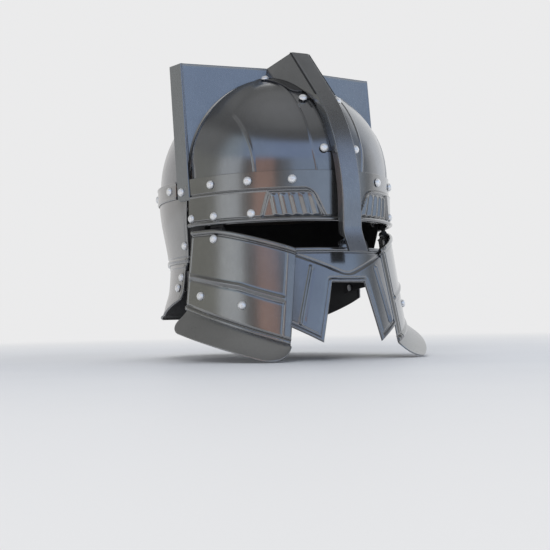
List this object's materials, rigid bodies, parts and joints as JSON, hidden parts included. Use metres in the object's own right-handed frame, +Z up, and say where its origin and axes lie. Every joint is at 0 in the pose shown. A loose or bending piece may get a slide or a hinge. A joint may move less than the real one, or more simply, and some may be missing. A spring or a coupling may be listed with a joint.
{
  "type": "knight helmet",
  "caption": "Open-faced plate steel helmet with a transverse crest, nasal bar, face mask, neck guard, two hinged cheek guards and a laced leather liner.",
  "frame": {"origin": "mount head_seat: the point where the top of the wearer's head touches the liner, on the helmet's mid plane", "axes": "+Z up, the face looks along -Y, +X is the wearer's left; YZ is the mirror plane"},
  "size_m": [0.2354, 0.278, 0.2703],
  "materials": {
    "blackened_steel": "polished, gun-blackened",
    "crest_steel": "polished",
    "rivet_steel": "bright polished",
    "liner_leather": "satin",
    "lace": "matte"
  },
  "bodies": {
    "helmet": {"skull_front": "blackened_steel", "skull_rear": "blackened_steel", "brow_band": "blackened_steel", "rear_band": "blackened_steel", "nasal_bar": "blackened_steel", "comb_wall_right": "blackened_steel", "comb_wall_left": "blackened_steel", "crown_strap": "blackened_steel", "comb_saddle_upper": "blackened_steel", "comb_saddle_lower": "blackened_steel", "face_mask": "blackened_steel", "neck_guard": "blackened_steel", "neck_lame": "blackened_steel", "cheek_rest_right": "blackened_steel", "cheek_rest_left": "blackened_steel", "side_stay_right": "blackened_steel", "side_stay_left": "blackened_steel", "hinge_upper_right": "blackened_steel", "hinge_upper_left": "blackened_steel", "hinge_pin_right": "blackened_steel", "hinge_pin_left": "blackened_steel", "nasal_foot": "blackened_steel", "crest_wing_right": "crest_steel", "crest_wing_left": "crest_steel", "brow_rivets_upper": "rivet_steel", "brow_rivets_lower": "rivet_steel", "hinge_rivets_upper": "rivet_steel", "stay_rivets_upper": "rivet_steel", "rear_band_rivets": "rivet_steel", "crest_rivets": "rivet_steel", "crown_strap_rivets": "rivet_steel", "comb_rivets_upper": "rivet_steel", "comb_rivets_lower": "rivet_steel", "neck_rivets": "rivet_steel", "neck_lap_rivets": "rivet_steel", "rest_rivets": "rivet_steel", "liner_headband": "liner_leather", "liner_tongues": "liner_leather", "liner_lace": "lace"},
    "right_cheek": {"cheek_guard_right": "blackened_steel", "cheek_skirt_right": "blackened_steel", "hinge_lower_right": "blackened_steel", "hinge_rivet_lower_right": "rivet_steel", "skirt_rivets_right": "rivet_steel"},
    "left_cheek": {"cheek_guard_left": "blackened_steel", "cheek_skirt_left": "blackened_steel", "hinge_lower_left": "blackened_steel", "hinge_rivet_lower_left": "rivet_steel", "skirt_rivets_left": "rivet_steel"}
  },
  "joints": [
    {"name": "right_cheek_hinge", "type": "hinge", "parent": "helmet", "child": "right_cheek", "pos_m": [-0.0836, -0.06113, -0.126], "axis": [-0.3935, 0.9193, 0], "range_deg": [0, 30]},
    {"name": "left_cheek_hinge", "type": "hinge", "parent": "helmet", "child": "left_cheek", "pos_m": [0.0836, -0.06113, -0.126], "axis": [-0.3935, -0.9193, 0], "range_deg": [0, 30]}
  ]
}
